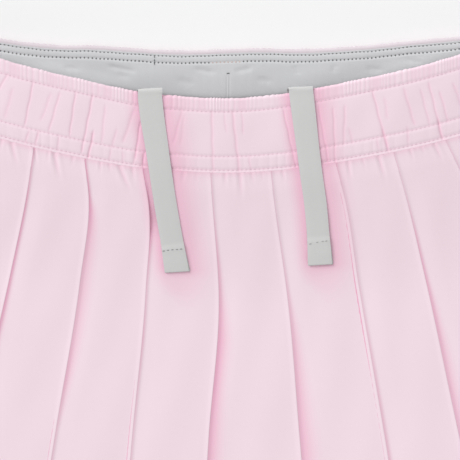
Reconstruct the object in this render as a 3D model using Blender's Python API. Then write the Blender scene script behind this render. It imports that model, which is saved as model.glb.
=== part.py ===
"""A child's pleated skort, laid flat with its back on the floor.

The garment fans out from the waist, so a place on the cloth is given by how far it lies
along an arc round one apex above the waist, and how far down it lies from the top edge.
+Z is up, the waist is towards +Y and the hem towards -Y. Left is -X. From the floor up
come the back waistband and the back skirt, the back shorts, the front shorts, the front
waistband and the front skirt, and over them the two free ends of the drawcord.
"""

import math
from collections import namedtuple

import bmesh
import bpy
from mathutils import Vector

# Driving sizes of the garment, in metres.
WAIST_HALF = 0.130  # half the flat waist, straight across
LENGTH = 0.320  # waist to hem
BAND_DEPTH = 0.0331  # waistband, top edge to seam
FAN_TOP = 0.3196  # apex to the waist, at its sides
FRONT_DIP = 0.0033  # how much lower the front's top edge hangs at its middle
DIP_AT = -0.03  # where it does, as a share of the half width
DIP_REACH = 0.5
LEFT_DIP = 0.0011  # and from there to its left
DIP_DEPTH = 0.070  # how far down the front that dip fades out
BACK_RISE = 0.017  # how much higher the back's top edge lies at its middle
BACK_TUCK = 0.003  # how far the back's hem stays inside the front's
CLOTH = 0.001  # wall of the skirt and the shorts
BAND_WALL = 0.003  # waistband: cloth, elastic and cloth
SEAM_GAP = 0.0003
LAYER_GAP = 0.0004
MOUTH_GAP = 0.007  # how far the waist stands open
MOUTH_REACH = 0.095  # how far down the front that opening fades out
MOUTH_FLATNESS = 6  # higher keeps the opening's full height nearer to the sides

# The fan that the garment lies on.
HALF_ANGLE = math.asin(WAIST_HALF / FAN_TOP)
FAN_HEM = FAN_TOP + LENGTH
APEX_Y = (FAN_HEM + FAN_TOP * math.cos(HALF_ANGLE)) / 2

# Pleats: each is folded once back and once out, so three layers lie on each other.
LAYER_STEP = CLOTH + SEAM_GAP
PLEAT_STACK = 3 * CLOTH + 2 * SEAM_GAP
CLIMB_START = 0.0015  # from a fold's edge to where the next panel starts to climb
CLIMB = 0.008  # how long that climb is
CLIMB_MIN = 0.004
FOLD_CLEAR = 0.0012  # a panel is up on the stack this far before the inner fold
CLIMB_PARTS = (0, 0.35, 0.7, 1)
SIDE_SLOPE = 0.007  # the front comes down onto the back over this much at its side
SIDE_PARTS = (0, 1 / 3, 2 / 3, 1)
SHORTS_DROP = 0.025  # the front comes down beside the shorts over this much

# Where the cloth's cross sections are taken, down from the top edge.
SEAM_ROW = BAND_DEPTH + SEAM_GAP
SKIRT_ROWS = (SEAM_ROW, 0.048, 0.065, 0.085, 0.112, 0.145, 0.190, 0.238, 0.280, LENGTH)

# Where each pleat's fold edge lies, in degrees from the centre line, at PLEAT_ROWS, and how
# deep the pleat is at the seam and at the hem. The folds open under the band and settle.
PLEAT_ROWS = (SEAM_ROW, 0.048, 0.085, 0.145, LENGTH)
Pleat = namedtuple("Pleat", "seam yoke upper middle hem tuck_at_seam tuck_at_hem")
FRONT_PLEATS = (
    Pleat(-20.70, -20.60, -20.60, -20.70, -20.60, 0.007, 0.010),
    Pleat(-17.25, -17.10, -17.00, -16.95, -16.80, 0.009, 0.011),
    Pleat(-13.35, -13.15, -13.00, -13.00, -12.90, 0.011, 0.010),
    Pleat(-9.80, -9.15, -8.85, -8.90, -8.90, 0.011, 0.011),
    Pleat(-5.80, -5.20, -4.90, -4.95, -4.90, 0.011, 0.010),
    Pleat(-1.20, -1.00, -0.55, -1.00, -1.00, 0.011, 0.010),
    Pleat(2.90, 3.05, 3.50, 3.70, 3.80, 0.010, 0.012),
    Pleat(7.35, 7.65, 7.80, 8.05, 8.10, 0.012, 0.011),
    Pleat(11.35, 11.55, 11.75, 11.80, 11.90, 0.010, 0.010),
    Pleat(15.00, 15.45, 15.75, 15.80, 15.90, 0.010, 0.011),
    Pleat(19.00, 19.40, 19.65, 19.80, 19.90, 0.010, 0.010),
)
# The back's pleats are even, and point the other way: its angles run towards -X.
BACK_FIRST = -18.9
BACK_STEP = 3.95
BACK_COUNT = 11
BACK_DEPTH = 0.0105

# Shorts: narrower than the skirt, and shorter.
SHORTS_LENGTH = 0.238
CROTCH = 0.190
LEG_SPLIT = 0.012  # half the gap between the legs at their hems
SHORTS_ROWS = (0.001, 0.010, 0.021, 0.027, 0.033, 0.048, 0.065, 0.085, 0.112, 0.145)
Girth = namedtuple("Girth", "down half")  # half width of the shorts, along the arc
SHORTS_GIRTHS = (
    Girth(0.024, 0.1405),
    Girth(0.032, 0.1390),
    Girth(0.085, 0.1450),
    Girth(0.145, 0.1510),
    Girth(SHORTS_LENGTH, 0.1540),
)
SHORTS_COLUMNS = 9
SHORTS_CROWDING = 1.3  # over 1 sets the columns closer at the side, where the front bends

# Waistband: small gathers stand on its outer side, held down along the rows of stitching.
BandRow = namedtuple("BandRow", "down height fine")  # fine is the small gathers' share
BAND_ROWS = (
    BandRow(0.0, 0.00060, 1.0),
    BandRow(0.0056, 0.00025, 0.9),
    BandRow(0.0155, 0.00055, 0.45),
    BandRow(0.0253, 0.00030, 0.5),
    BandRow(BAND_DEPTH, 0.00035, 0.7),
)
RUFFLES = 110
WIDE_GATHERS = ((0.5, 0.0, 1.57), (0.3, 0.61, 0.0), (0.2, 0.23, 1.0))  # share, turn, start
BACK_BAND_COLUMNS = 36
BAND_TURN = 0.0027  # radius of the band's middle where it turns at a side
TURN_STEPS = 3
SIDE_SEAM_HEIGHT = BAND_WALL + CLOTH + LAYER_GAP + SEAM_GAP / 2

# Drawcord: a flat tape whose free ends come out of the waist, over the edge and down.
CORD_WIDTH = 0.0100
CORD_WALL = 0.001
CORD_HEM_WALL = 0.0021  # where the tape's end is folded back on itself
CORD_HEM_LENGTH = 0.0095
CORD_STEPS = 4  # points on each stretch between two stops of its route
CORD_OVER_EDGE = 7  # the stop from which the tape lies over the front
CORD_SETTLED = 10  # the stop from which it lies square to its own run
LEFT_CORD_FOLD = (1.0, 0.06, 0.0)  # the line along which the tape folds over the edge
RIGHT_CORD_FOLD = (1.0, 0.04, 0.0)

# The stops along the tape's middle, in millimetres, from inside the waist to its free end.
Stop = namedtuple("Stop", "x y z")
LEFT_CORD = (
    Stop(-35.3, 130.5, 10.3),
    Stop(-34.5, 136.5, 10.5),
    Stop(-33.7, 142.6, 10.5),
    Stop(-33.3, 145.4, 10.7),
    Stop(-33.0, 146.7, 11.9),
    Stop(-32.8, 147.0, 14.0),
    Stop(-32.7, 146.9, 16.1),
    Stop(-32.7, 145.8, 17.4),
    Stop(-32.7, 143.2, 17.4),
    Stop(-31.7, 134.5, 17.1),
    Stop(-30.0, 123.5, 16.6),
    Stop(-28.1, 110.5, 15.9),
    Stop(-26.1, 97.5, 14.5),
    Stop(-23.4, 82.0, 12.9),
    Stop(-21.5, 70.2, 12.3),
)
RIGHT_CORD = (
    Stop(27.6, 132.0, 10.3),
    Stop(28.5, 138.0, 10.5),
    Stop(29.4, 143.6, 10.5),
    Stop(29.8, 146.0, 10.7),
    Stop(30.0, 147.4, 11.9),
    Stop(30.2, 147.7, 14.0),
    Stop(30.3, 147.7, 16.1),
    Stop(30.5, 146.5, 17.4),
    Stop(30.8, 144.0, 17.4),
    Stop(31.7, 136.5, 17.1),
    Stop(33.3, 123.5, 16.6),
    Stop(34.9, 111.0, 15.9),
    Stop(36.7, 98.2, 14.5),
    Stop(38.0, 83.5, 13.0),
    Stop(38.6, 73.2, 12.5),
)


def smooth(x):
    """0 below 0, 1 above 1, and an even curve between."""
    x = min(1.0, max(0.0, x))
    return x * x * (3 - 2 * x)


def between(places, values, at):
    """The value at a place between two listed ones, straight from one to the next."""
    i = next((i for i in range(1, len(places)) if at <= places[i]), len(places) - 1)
    share = (at - places[i - 1]) / (places[i] - places[i - 1])
    return values[i - 1] + max(0.0, min(1.0, share)) * (values[i] - values[i - 1])


def front_radius(share, down):
    """Distance from the apex on the front. share is -1 at the left side and 1 at the right."""
    dip = FRONT_DIP * (1 - smooth(abs(share - DIP_AT) / DIP_REACH))
    dip += LEFT_DIP * smooth((-share - 0.1) / 0.2) * (1 - smooth((-share - 0.7) / 0.3))
    return FAN_TOP + down + dip * (1 - smooth(down / DIP_DEPTH))


def back_radius(share, down):
    """The same on the back. Below the seam its rows come together down to its hem."""
    top = FAN_TOP - BACK_RISE * (1 - share * share)
    below = max(0.0, down - SEAM_ROW) / (LENGTH - SEAM_ROW)
    return top + down + below * (FAN_HEM - BACK_TUCK - top - LENGTH)


def arc_half(down):
    """Half the garment's width along the arc at this place."""
    return (FAN_TOP + down) * HALF_ANGLE


def on_fan(place, height, down, radius_of):
    """The point at this place along the arc, on a row of the front or of the back."""
    share = place / arc_half(down)
    angle = share * HALF_ANGLE
    radius = radius_of(share, down)
    return Vector((radius * math.sin(angle), APEX_Y - radius * math.cos(angle), height))


def shorts_half(down):
    """Half the shorts' width along the arc. In the band they end where it turns."""
    if down <= SHORTS_GIRTHS[0].down:
        return arc_half(down) - BAND_WALL / 2 - BAND_TURN - SEAM_GAP
    return between([g.down for g in SHORTS_GIRTHS], [g.half for g in SHORTS_GIRTHS], down)


def back_shorts_floor(share, down):
    """Underside of the back shorts, on the back's band and then on its pleats."""
    onto_pleats = smooth((down - 0.4 * BAND_DEPTH) / (0.5 * BAND_DEPTH))
    return BAND_WALL + (PLEAT_STACK - BAND_WALL) * onto_pleats + SEAM_GAP


def front_shorts_floor(share, down):
    """Underside of the front shorts, which stand off the back where the waist is open."""
    across = 1 - min(1.0, abs(share)) ** MOUTH_FLATNESS
    open_by = MOUTH_GAP * across * (1 - smooth(down / MOUTH_REACH))
    return back_shorts_floor(share, down) + CLOTH + LAYER_GAP + open_by


def front_band_middle(share, down):
    """Height of the middle of the front waistband, which lies on the front shorts."""
    return front_shorts_floor(share, down) + CLOTH + LAYER_GAP + BAND_WALL / 2


def front_skirt_floor(place, down):
    """Underside of the front skirt: over the shorts, beside them, and down at its side."""
    half = arc_half(down)
    over = front_shorts_floor(place / half, down) + CLOTH + LAYER_GAP
    beside = PLEAT_STACK + LAYER_GAP
    past_legs = smooth((down - SHORTS_LENGTH - CLOTH) / SHORTS_DROP)
    shorts_side = shorts_half(min(down, SHORTS_LENGTH))
    past_side = smooth((abs(place) - shorts_side - CLOTH) / SHORTS_DROP)
    height = over + (beside - over) * max(past_legs, past_side)
    at_side = smooth((abs(place) - half + SIDE_SLOPE) / SIDE_SLOPE)
    return height + (CLOTH + SEAM_GAP - height) * at_side


def offset(line, distances, side):
    """The line moved sideways, with its corners kept sharp. side 1 is left of its direction."""
    normals = []
    for a, b in zip(line, line[1:], strict=False):
        along = (b - a).normalized()
        normals.append(Vector((-along.y, along.x)))
    moved = []
    for i, point in enumerate(line):
        before = normals[max(0, i - 1)]
        after = normals[min(i, len(normals) - 1)]
        middle = (before + after).normalized()
        moved.append(point + middle * (side * distances[i] / middle.dot(after)))
    return moved


def wall_row(line, outer_walls, inner_walls, down, radius_of):
    """One cross section of a wall: its outer and inner points, round its middle line."""
    row = []
    for walls, side in ((outer_walls, 1), (inner_walls, -1)):
        edge = offset(line, walls, side)
        row.append([on_fan(p.x, max(0.0, p.y), down, radius_of) for p in edge])
    return row


def make_wall(name, rows, finish):
    """One closed wall from its cross sections, each a pair of outer and inner points."""
    mesh = bmesh.new()
    rings = []
    for outer, inner in rows:
        rings.append(([mesh.verts.new(p) for p in outer], [mesh.verts.new(p) for p in inner]))
    for (outer, inner), (next_outer, next_inner) in zip(rings, rings[1:], strict=False):
        for here, there in ((outer, next_outer), (next_inner, inner)):
            for i in range(len(here) - 1):
                mesh.faces.new((here[i], here[i + 1], there[i + 1], there[i]))
        for end in (0, -1):
            mesh.faces.new((outer[end], next_outer[end], next_inner[end], inner[end]))
    for outer, inner in (rings[0], rings[-1]):
        for i in range(len(outer) - 1):
            mesh.faces.new((outer[i], inner[i], inner[i + 1], outer[i + 1]))
    bmesh.ops.recalc_face_normals(mesh, faces=mesh.faces)
    data = bpy.data.meshes.new(name)
    mesh.to_mesh(data)
    mesh.free()
    made = bpy.data.objects.new(name, data)
    bpy.context.collection.objects.link(made)
    data.materials.append(finish)


def make_material(name, colour, roughness):
    """A plain cloth finish."""
    made = bpy.data.materials.new(name)
    made.use_nodes = True
    shader = made.node_tree.nodes["Principled BSDF"]
    shader.inputs["Base Color"].default_value = (*colour, 1.0)
    shader.inputs["Roughness"].default_value = roughness
    shader.inputs["Metallic"].default_value = 0.0
    return made


def pleated_line(pleats, down, edge_layer, floor_of):
    """The middle line of a pleated cloth at one row, from its left side to its right.

    A panel that shows ends in a fold at edge_layer, the layer above or below all others. The
    cloth then runs back in layer 1 and out again in the hidden layer, under the next panel.
    """
    half = arc_half(down)
    hidden_layer = 2 - edge_layer
    stops = [(-half + SIDE_SLOPE * part, 0) for part in SIDE_PARTS]
    start, layer = -half + SIDE_SLOPE, 0
    for pleat in pleats:
        fold = math.radians(between(PLEAT_ROWS, pleat[:5], down)) * (FAN_TOP + down)
        tuck = between((SEAM_ROW, LENGTH), (pleat.tuck_at_seam, pleat.tuck_at_hem), down)
        up_at = fold - tuck - FOLD_CLEAR
        climb_from = min(start + CLIMB_START, up_at - CLIMB_MIN)
        climb = min(CLIMB, up_at - climb_from)
        for part in CLIMB_PARTS:
            level = layer + (edge_layer - layer) * smooth(part)
            stops.append((climb_from + part * climb, level))
        stops += [(fold, edge_layer), (fold, 1), (fold - tuck, 1), (fold - tuck, hidden_layer)]
        start, layer = fold, hidden_layer
    for part in CLIMB_PARTS:
        level = hidden_layer * (1 - smooth(part))
        stops.append((start + CLIMB_START + part * CLIMB, level))
    stops += [(half - SIDE_SLOPE * part, 0) for part in reversed(SIDE_PARTS)]
    return [
        Vector((place, floor_of(place, down) + CLOTH / 2 + level * LAYER_STEP))
        for place, level in stops
    ]


def make_skirt_front(finish):
    """The front's pleats, their fold edges on top and towards +X."""
    rows = []
    for down in SKIRT_ROWS:
        line = pleated_line(FRONT_PLEATS, down, 2, front_skirt_floor)
        walls = [CLOTH / 2] * len(line)
        rows.append(wall_row(line, walls, walls, down, front_radius))
    make_wall("skirt_front", rows, finish)


def make_skirt_back(finish):
    """The back's pleats, their fold edges on the floor and towards -X."""
    folds = [BACK_FIRST + BACK_STEP * i for i in range(BACK_COUNT)]
    pleats = [Pleat(*[fold] * 5, BACK_DEPTH, BACK_DEPTH) for fold in folds]
    rows = []
    for down in SKIRT_ROWS:
        line = pleated_line(pleats, down, 0, lambda place, at: 0.0)
        mirrored = [Vector((-p.x, p.y)) for p in reversed(line)]
        walls = [CLOTH / 2] * len(line)
        rows.append(wall_row(mirrored, walls, walls, down, back_radius))
    make_wall("skirt_back", rows, finish)


def band_line(down, columns, middle_of, turn):
    """The middle line of a waistband half. turn is 1 where its ends turn up, -1 for down."""
    end_height = SIDE_SEAM_HEIGHT - turn * SEAM_GAP / 2
    side = arc_half(down) - BAND_WALL / 2
    flat_half = side - BAND_TURN
    places = [flat_half * (2 * i / columns - 1) for i in range(columns + 1)]
    line = [Vector((place, middle_of(place / arc_half(down), down))) for place in places]
    bend = []
    for k in range(1, TURN_STEPS + 1):
        angle = math.pi / 2 * k / TURN_STEPS
        height = line[-1].y + turn * BAND_TURN * (1 - math.cos(angle))
        bend.append(Vector((flat_half + BAND_TURN * math.sin(angle), height)))
    bend.append(Vector((side, end_height)))
    return [Vector((-p.x, p.y)) for p in reversed(bend)] + line + bend


def gather(column, row):
    """How far a column of the front waistband stands out at this row."""
    if column < 0 or column > 2 * RUFFLES:
        return 0.0
    wide = sum(share * math.sin(column * turn + start) for share, turn, start in WIDE_GATHERS)
    return row.height * (row.fine * (column % 2) + (1 - row.fine) * wide)


def make_waistband_front(finish):
    """The waistband's front: an elastic casing, gathered on its outer side only."""
    rows = []
    for row in BAND_ROWS:
        line = band_line(row.down, 2 * RUFFLES, front_band_middle, -1)
        columns = [i - TURN_STEPS - 1 for i in range(len(line))]
        outer_walls = [BAND_WALL / 2 + gather(column, row) for column in columns]
        inner_walls = [BAND_WALL / 2] * len(line)
        rows.append(wall_row(line, outer_walls, inner_walls, row.down, front_radius))
    make_wall("waistband_front", rows, finish)


def make_waistband_back(finish):
    """The waistband's back, flat on the floor, its ends turned up to the front's."""
    rows = []
    for down in (0.0, BAND_DEPTH / 2, BAND_DEPTH):
        line = band_line(down, BACK_BAND_COLUMNS, lambda share, at: BAND_WALL / 2, 1)
        walls = [BAND_WALL / 2] * len(line)
        rows.append(wall_row(line, walls, walls, down, back_radius))
    make_wall("waistband_back", rows, finish)


def make_shorts(name, floor_of, radius_of, side, finish):
    """One of the shorts' four panels. side is -1 for the left and 1 for the right."""
    rows = []
    for down in (*SHORTS_ROWS, CROTCH, SHORTS_LENGTH):
        past_crotch = max(0.0, (down - CROTCH) / (SHORTS_LENGTH - CROTCH))
        inner_edge = SEAM_GAP / 2 + LEG_SPLIT * past_crotch
        width = shorts_half(down) - inner_edge
        line = []
        for i in range(SHORTS_COLUMNS + 1):
            place = inner_edge + width * (1 - (1 - i / SHORTS_COLUMNS) ** SHORTS_CROWDING)
            height = floor_of(place / arc_half(down), down) + CLOTH / 2
            line.append(Vector((side * place, height)))
        walls = [CLOTH / 2] * len(line)
        rows.append(wall_row(line[::side], walls, walls, down, radius_of))
    make_wall(name, rows, finish)


def smooth_route(stops):
    """Points on a smooth curve through the stops, closer where those are closer."""
    stops = [Vector(stop) / 1000 for stop in stops]
    stops = [2 * stops[0] - stops[1], *stops, 2 * stops[-1] - stops[-2]]
    route = []
    for before, start, end, after in zip(stops, stops[1:], stops[2:], stops[3:], strict=False):
        for k in range(CORD_STEPS):
            x = k / CORD_STEPS
            bend = 2 * before - 5 * start + 4 * end - after
            twist = 3 * start - before - 3 * end + after
            route.append((2 * start + (end - before) * x + bend * x**2 + twist * x**3) / 2)
    return [*route, stops[-2]]


def make_drawcord(name, stops, fold_line, finish):
    """A free end of the drawcord: a flat tape, thicker where its end is folded back."""
    route = smooth_route(stops)
    over_edge, settled = CORD_OVER_EDGE * CORD_STEPS, CORD_SETTLED * CORD_STEPS
    run = route[-1] - route[over_edge]
    square = Vector((-run.y, run.x, 0)).normalized()
    rows = []
    for i, point in enumerate(route):
        turned = smooth((i - over_edge) / (settled - over_edge))
        level = Vector(fold_line).normalized().lerp(square, turned)
        along = (route[min(i + 1, len(route) - 1)] - route[max(i - 1, 0)]).normalized()
        across = (level - along * level.dot(along)).normalized()
        out = along.cross(across)
        in_hem = (route[-1] - point).length < CORD_HEM_LENGTH
        upper = (CORD_HEM_WALL if in_hem else CORD_WALL) - CORD_WALL / 2
        pair = []
        for height in (upper, -CORD_WALL / 2):
            pair.append([point + across * (CORD_WIDTH / 2 * k) + out * height for k in (-1, 0, 1)])
        rows.append(pair)
    make_wall(name, rows, finish)


def main():
    """Clear the scene and make every piece, in the order in which they lie on each other."""
    for old in list(bpy.data.objects):
        bpy.data.objects.remove(old)
    pink = make_material("pink_cloth", (0.863, 0.701, 0.768), 0.75)
    grey = make_material("grey_knit", (0.567, 0.578, 0.591), 0.85)
    tape = make_material("grey_tape", (0.597, 0.594, 0.591), 0.8)
    make_skirt_back(pink)
    make_waistband_back(pink)
    for word, side in (("left", -1), ("right", 1)):
        make_shorts("shorts_back_" + word, back_shorts_floor, back_radius, side, grey)
        make_shorts("shorts_front_" + word, front_shorts_floor, front_radius, side, grey)
    make_waistband_front(pink)
    make_skirt_front(pink)
    make_drawcord("drawcord_left", LEFT_CORD, LEFT_CORD_FOLD, tape)
    make_drawcord("drawcord_right", RIGHT_CORD, RIGHT_CORD_FOLD, tape)


main()
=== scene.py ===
"""A child's pleated skort, laid flat with its back on the floor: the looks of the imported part.

Everything is in metres. A place on the cloth is given as in the part's own source: how far it
lies along an arc round one apex above the waist, and how far down from the top edge.
"""

import math
from collections import namedtuple

import bpy
import numpy as np
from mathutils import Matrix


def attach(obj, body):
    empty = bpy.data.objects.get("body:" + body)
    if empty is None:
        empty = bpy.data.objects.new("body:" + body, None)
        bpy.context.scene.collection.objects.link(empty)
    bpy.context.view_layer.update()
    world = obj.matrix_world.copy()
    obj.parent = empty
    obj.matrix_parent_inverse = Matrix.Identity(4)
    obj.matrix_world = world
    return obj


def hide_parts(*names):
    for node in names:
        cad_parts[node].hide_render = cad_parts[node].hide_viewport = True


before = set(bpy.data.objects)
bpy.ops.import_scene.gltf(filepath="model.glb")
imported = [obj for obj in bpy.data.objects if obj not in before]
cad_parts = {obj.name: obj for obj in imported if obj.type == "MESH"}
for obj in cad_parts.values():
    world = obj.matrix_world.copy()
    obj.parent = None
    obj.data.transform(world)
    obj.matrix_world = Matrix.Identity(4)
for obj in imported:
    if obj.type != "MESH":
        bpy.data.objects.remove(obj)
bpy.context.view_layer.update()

# --- Camera ---
# The picture is taken from straight above, close in on the waist, so the garment's sides and
# hem lie outside it.
VIEW_CENTRE = (0.0008, 0.0878)
VIEW_WIDTH = 0.1932
VIEW_LEVEL = 0.012  # height at which the view is that wide
CAMERA_HEIGHT = 2.0
SENSOR = 36.0


def in_scene(name, data):
    """An object of this name in the scene, with this data."""
    made = bpy.data.objects.new(name, data)
    bpy.context.scene.collection.objects.link(made)
    return made


lens = bpy.data.cameras.new("camera")
lens.sensor_width = SENSOR
lens.lens = SENSOR * (CAMERA_HEIGHT - VIEW_LEVEL) / VIEW_WIDTH
camera = in_scene("camera", lens)
camera.location = (*VIEW_CENTRE, CAMERA_HEIGHT)
bpy.context.scene.camera = camera

# --- Drawcord ---
# Each free end of the drawcord is a flat woven tape. It comes out of the waist, folds over the
# front's edge and lies down the front. Its cut end is turned under and held by a few stitches.
CORD_WIDTH = 0.0101
CORD_NARROWER = 0.075  # the share by which the pulled tape is narrower along its middle
CORD_NARROWS_OVER = 0.016  # from its end
CORD_WIDENS_OVER = 0.030
CORD_WIDE_AGAIN = 0.072  # this far from its end
TAPE_WALL = 0.0003
CORD_STEPS = 16  # points on each stretch between two stops of its route
CORD_OVER_EDGE = 7  # the stop from which the tape lies over the front
CORD_SETTLED = 10  # the stop from which it lies square to its own run
TAPE_COLUMNS = 11
TAPE_CROWN = 0.00012  # how much lower its edges lie than its middle
HEM_LENGTH = 0.0095  # how far up the turned end reaches, to its stitches
HEM_RAMP = 0.0016
HEM_PRESSED = 0.00032  # upper layer's rise where the stitches hold it
HEM_OPEN = 0.00045  # and near the end, where the fold springs open
HEM_UNDER = -0.00005  # height of the layer turned under
HEM_SKEW = 0.0005  # how far the layer turned under sticks out at the right, at the end
WELT_RISE = 0.0002  # a ridge in the upper layer just above the stitches
WELT_AT = 0.0011
WELT_WIDTH = 0.0006
TURN_STEPS = 8
CORD_STITCH_LENGTH = 0.0012
TAPE_COLOUR = (0.600, 0.598, 0.594)
TAPE_RIB = 0.00045
GREY_THREAD = (0.165, 0.168, 0.172)
GREY_LIGHT_THREAD = (0.300, 0.298, 0.295)

Stop = namedtuple("Stop", "x y z")
LEFT_CORD = [Stop(*row) for row in (
    (-0.0353, 0.1305, 0.01030),
    (-0.0345, 0.1365, 0.01050),
    (-0.0337, 0.1426, 0.01050),
    (-0.0333, 0.1454, 0.01070),
    (-0.0330, 0.1467, 0.01190),
    (-0.0328, 0.1471, 0.01400),
    (-0.0327, 0.1470, 0.01580),
    (-0.0327, 0.1461, 0.01670),
    (-0.0327, 0.1432, 0.01665),
    (-0.0317, 0.1345, 0.01650),
    (-0.0300, 0.1235, 0.01610),
    (-0.0281, 0.1105, 0.01545),
    (-0.0261, 0.0975, 0.01415),
    (-0.0234, 0.0820, 0.01250),
    (-0.0215, 0.0702, 0.01125),
)]
RIGHT_CORD = [Stop(*row) for row in (
    (0.0276, 0.1320, 0.01030),
    (0.0285, 0.1380, 0.01050),
    (0.0294, 0.1436, 0.01050),
    (0.0298, 0.1460, 0.01070),
    (0.0300, 0.1474, 0.01190),
    (0.0302, 0.1477, 0.01400),
    (0.0303, 0.1477, 0.01580),
    (0.0305, 0.1468, 0.01670),
    (0.0308, 0.1440, 0.01665),
    (0.0317, 0.1365, 0.01655),
    (0.0333, 0.1235, 0.01590),
    (0.0349, 0.1110, 0.01525),
    (0.0367, 0.0982, 0.01400),
    (0.0380, 0.0835, 0.01260),
    (0.0386, 0.0732, 0.01148),
)]


def smooth(x):
    """0 below 0, 1 above 1, and an even curve between."""
    x = np.clip(x, 0.0, 1.0)
    return x * x * (3 - 2 * x)


def unit(vectors):
    """The same directions, one metre long."""
    return vectors / np.linalg.norm(vectors, axis=-1, keepdims=True)


def feed(tree, node, inputs):
    """Set a node's inputs to numbers or colours, or link them to other nodes' outputs."""
    for name, value in inputs.items():
        if isinstance(value, bpy.types.NodeSocket):
            tree.links.new(value, node.inputs[name])
        else:
            node.inputs[name].default_value = value


def shader_node(tree, kind, output, inputs, **settings):
    """The named output of a new shader node."""
    made = tree.nodes.new("ShaderNode" + kind)
    for name, value in settings.items():
        setattr(made, name, value)
    feed(tree, made, inputs)
    return made.outputs[output]


def new_finish(name, roughness, specular):
    """A material with one plain shader. Gives the material, its nodes and that shader."""
    made = bpy.data.materials.new(name)
    made.use_nodes = True
    shader = made.node_tree.nodes["Principled BSDF"]
    feed(made.node_tree, shader, {"Roughness": roughness, "Specular IOR Level": specular})
    return made, made.node_tree, shader


def cloth_finish(name, colour, roughness, pitch, ribs, relief, sheen, shade_and_lip_colour=None):
    """A cloth finish, its threads drawn at this pitch along the piece's own UV map, in metres."""
    made, tree, shader = new_finish(name, roughness, 0.25)
    place = shader_node(tree, "UVMap", "UV", {}, uv_map="cloth")
    turns = {0: place, "Scale": math.tau / pitch}
    turns = shader_node(tree, "VectorMath", 0, turns, operation="SCALE")
    wide = shader_node(tree, "SeparateXYZ", "X", {0: turns})
    long = shader_node(tree, "SeparateXYZ", "Y", {0: turns})
    wide = shader_node(tree, "Math", 0, {0: wide}, operation="SINE")
    long = shader_node(tree, "Math", 0, {0: long}, operation="SINE")
    threads = shader_node(tree, "Math", 0, {0: wide, 1: long}, operation="MULTIPLY")
    ribbed = shader_node(tree, "Mix", "Result", {"Factor": ribs, "A": threads, "B": wide})
    where = shader_node(tree, "TexCoord", "Object", {})
    slubs = {"Scale": 1400.0, "Detail": 2.0, "Vector": where}
    slubs = shader_node(tree, "TexNoise", "Fac", slubs)
    height = shader_node(tree, "Math", 0, {0: ribbed, 1: slubs}, operation="ADD")
    bump = {"Strength": relief, "Distance": pitch / 4, "Height": height}
    bump = shader_node(tree, "Bump", "Normal", bump)
    patches = {"Scale": 28.0, "Detail": 3.0, "Vector": where}
    tone = {
        "A": (*[0.975 * c for c in colour], 1.0),
        "B": (*[min(1.0, 1.02 * c) for c in colour], 1.0),
        "Factor": shader_node(tree, "TexNoise", "Fac", patches),
    }
    tone = shader_node(tree, "Mix", "Result", tone, data_type="RGBA")
    # Painted shade: a second, shaded colour is mixed in where the piece's attribute asks for it; on the
    # back band that colour is instead the lip's greyer pink.
    if shade_and_lip_colour:
        painted_shade_and_lip = shader_node(tree, "Attribute", "Fac", {}, attribute_name="painted_shade_and_lip")
        tone = {"A": tone, "B": (*shade_and_lip_colour, 1.0), "Factor": painted_shade_and_lip}
        tone = shader_node(tree, "Mix", "Result", tone, data_type="RGBA")
    # Painted shade in the weave: the colour is up to 5% darker where the threads dip.
    weave_hollow_shade = {"From Min": -1.0, "To Min": 0.95, "Value": ribbed}
    shaded = {0: tone, "Scale": shader_node(tree, "MapRange", "Result", weave_hollow_shade)}
    shaded = shader_node(tree, "VectorMath", 0, shaded, operation="SCALE")
    sheen = {"Sheen Weight": sheen, "Sheen Roughness": 0.5}
    feed(tree, shader, {**sheen, "Normal": bump, "Base Color": shaded})
    return made


def thread_finish(name, colour):
    """A sewing thread's finish: two plies twisted round each other."""
    made, tree, shader = new_finish(name, 0.6, 0.3)
    where = shader_node(tree, "TexCoord", "Object", {})
    plies = {"Scale": 900.0, "Vector": where}
    plies = shader_node(tree, "TexWave", "Fac", plies, bands_direction="DIAGONAL")
    tone = {"A": (*[0.85 * c for c in colour], 1.0), "B": (*colour, 1.0), "Factor": plies}
    tone = shader_node(tree, "Mix", "Result", tone, data_type="RGBA")
    feed(tree, shader, {"Base Color": tone})
    return made


def cloth_mesh(name, points, pattern, faces, finish, wall=0.0, painted_shade_and_lip=None):
    """A piece of cloth from its points and faces, with its pattern as its UV map.

    Its attribute of painted shade is 1 at the bottom of a fold, where light bounced between pink faces is
    painted in; on the back band it marks the lip instead.
    """
    data = bpy.data.meshes.new(name)
    data.from_pydata(points.reshape(-1, 3).tolist(), [], faces.tolist())
    layer = data.uv_layers.new(name="cloth")
    corners = np.empty(len(data.loops), int)
    data.loops.foreach_get("vertex_index", corners)
    layer.data.foreach_set("uv", pattern.reshape(-1, 2)[corners].astype(np.float32).ravel())
    if painted_shade_and_lip is not None:
        shade = data.attributes.new("painted_shade_and_lip", "FLOAT", "POINT")
        shade.data.foreach_set("value", painted_shade_and_lip.astype(np.float32).ravel())
    data.materials.append(finish)
    piece = in_scene(name, data)
    bpy.ops.object.select_all(action="DESELECT")
    bpy.context.view_layer.objects.active = piece
    piece.select_set(True)
    if wall:
        thick = piece.modifiers.new("wall", "SOLIDIFY")
        thick.thickness = wall
        thick.offset = 0.0
        thick.use_quality_normals = True
        bpy.ops.object.modifier_apply(modifier="wall")
    bpy.ops.object.shade_smooth_by_angle(angle=math.radians(55))
    return piece


def hand_over(piece, slot, *nodes):
    """Put a piece in the one body and hide the nodes it replaces. slot is not used."""
    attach(piece, "root")
    if nodes:
        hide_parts(*nodes)
    return piece


def grid_faces(rows, columns):
    """The faces of a grid of points. They look up where rows run down and columns right."""
    index = np.arange(rows * columns).reshape(rows, columns)
    corners = (index[:-1, :-1], index[1:, :-1], index[1:, 1:], index[:-1, 1:])
    return np.stack(corners, -1).reshape(-1, 4)


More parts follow.
